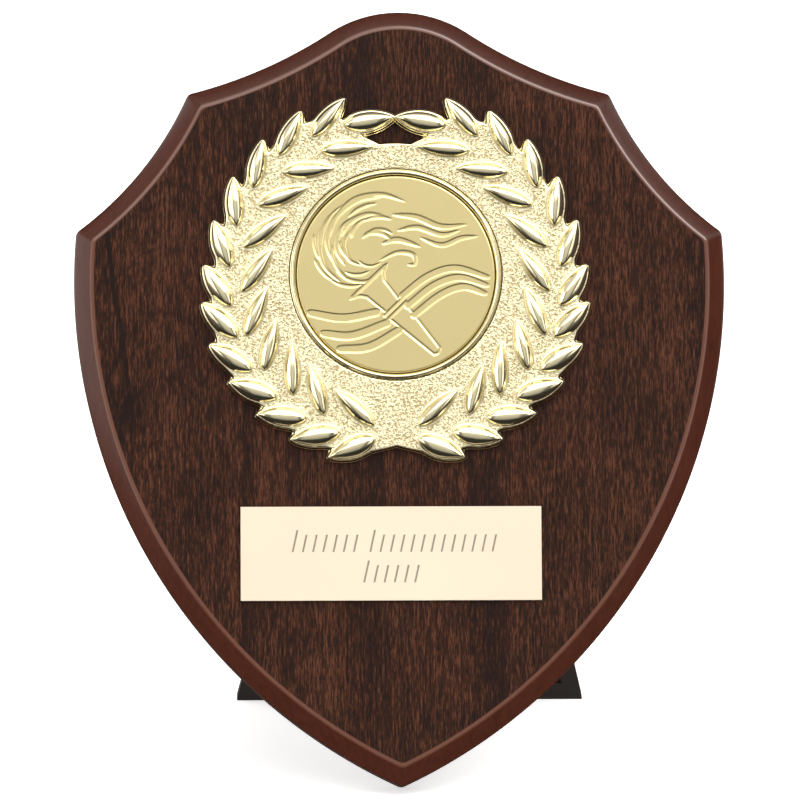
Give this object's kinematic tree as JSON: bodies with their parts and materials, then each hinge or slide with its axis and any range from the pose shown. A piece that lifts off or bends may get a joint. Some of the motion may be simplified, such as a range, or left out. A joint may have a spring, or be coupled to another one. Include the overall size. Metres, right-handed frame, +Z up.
{
  "type": "shield award plaque",
  "caption": "Heraldic shield plaque with a chamfered edge, a raised laurel wreath round an embossed disc, an engraving plate, and a strut behind that lets it stand leaning back.",
  "frame": {"origin": "middle of the bounding box's footprint, on the ground that the shield's tip and the strut's feet rest on", "axes": "+Z up, -Y the way the shield faces (its face leans back 18 degrees towards +Y), +X to the right of a viewer in front; the strut stands behind at +Y"},
  "size_m": [0.1676, 0.101, 0.1932],
  "materials": {
    "board": "dark wood-grain foil, satin lacquer",
    "plating": "bright pale gold plating, stippled ground and polished leaves",
    "disc": "satin gold, embossed",
    "plate": "satin cream gold, engraved",
    "bracket": "moulded black",
    "strut": "moulded black",
    "screw": "zinc plated"
  },
  "bodies": {
    "root": {"shield_board": "board", "laurel_wreath": "plating", "centre_disc": "disc", "engraving_plate": "plate", "strut_bracket": "bracket", "strut": "strut", "bracket_screw_1": "screw", "bracket_screw_2": "screw"}
  },
  "joints": []
}
